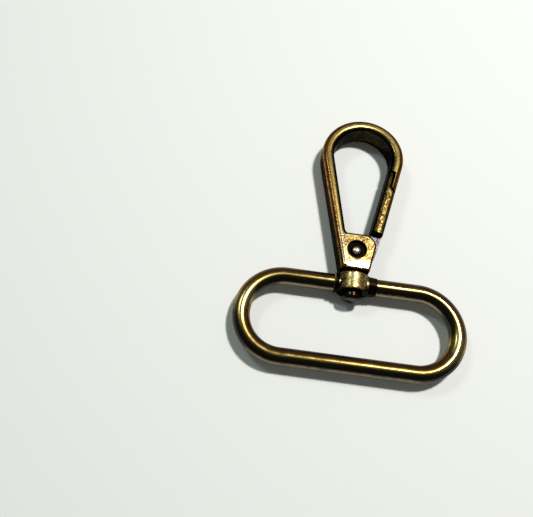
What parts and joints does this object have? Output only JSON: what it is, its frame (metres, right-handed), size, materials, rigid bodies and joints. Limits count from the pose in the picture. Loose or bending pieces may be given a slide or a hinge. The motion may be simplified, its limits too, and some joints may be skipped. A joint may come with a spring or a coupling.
{
  "type": "swivel snap hook",
  "caption": "Swivel snap hook with a sprung trigger gate, turning on a post in the collar of an oval webbing loop, in antique brass finish.",
  "frame": {"origin": "middle of the bounding box in X and Y, at its lowest Z", "axes": "+X along the webbing loop's long side, away from the collar's short beaded socket; +Y along the swivel axis, from the loop to the crook; +Z along the gate's rivet, up through the flat ear"},
  "size_m": [0.0442, 0.0536, 0.0063],
  "materials": {
    "antique_cast": "zinc casting, antique brass plated, dark patina rubbed back on the high spots",
    "antique_gate": "zinc casting, antique brass plated, mottled, bare metal on the worn shoulder",
    "dark_rivet": "steel, antique brass plated, dark patina with a rubbed crown",
    "antique_wire": "smooth round wire, antique brass plated and lacquered",
    "spring_wire": "bright spring steel"
  },
  "bodies": {
    "loop": {"loop_wire": "antique_wire", "swivel_collar": "antique_cast"},
    "hook": {"hook_body": "antique_cast", "swivel_post": "dark_rivet", "gate_rivet": "dark_rivet", "gate_spring": "spring_wire"},
    "gate": {"gate": "antique_gate"}
  },
  "joints": [
    {"name": "swivel", "type": "hinge", "parent": "loop", "child": "hook", "pos_m": [0, -0.00948, 0.00315], "axis": [0, 1, 0], "continuous": true},
    {"name": "gate_pivot", "type": "hinge", "parent": "hook", "child": "gate", "pos_m": [0, -0.00308, 0.00315], "axis": [0, 0, 1], "range_deg": [0, 28], "stiffness_Nm_per_rad": 0.03, "springref_deg": -17.19, "deforming": ["gate_spring"]}
  ]
}
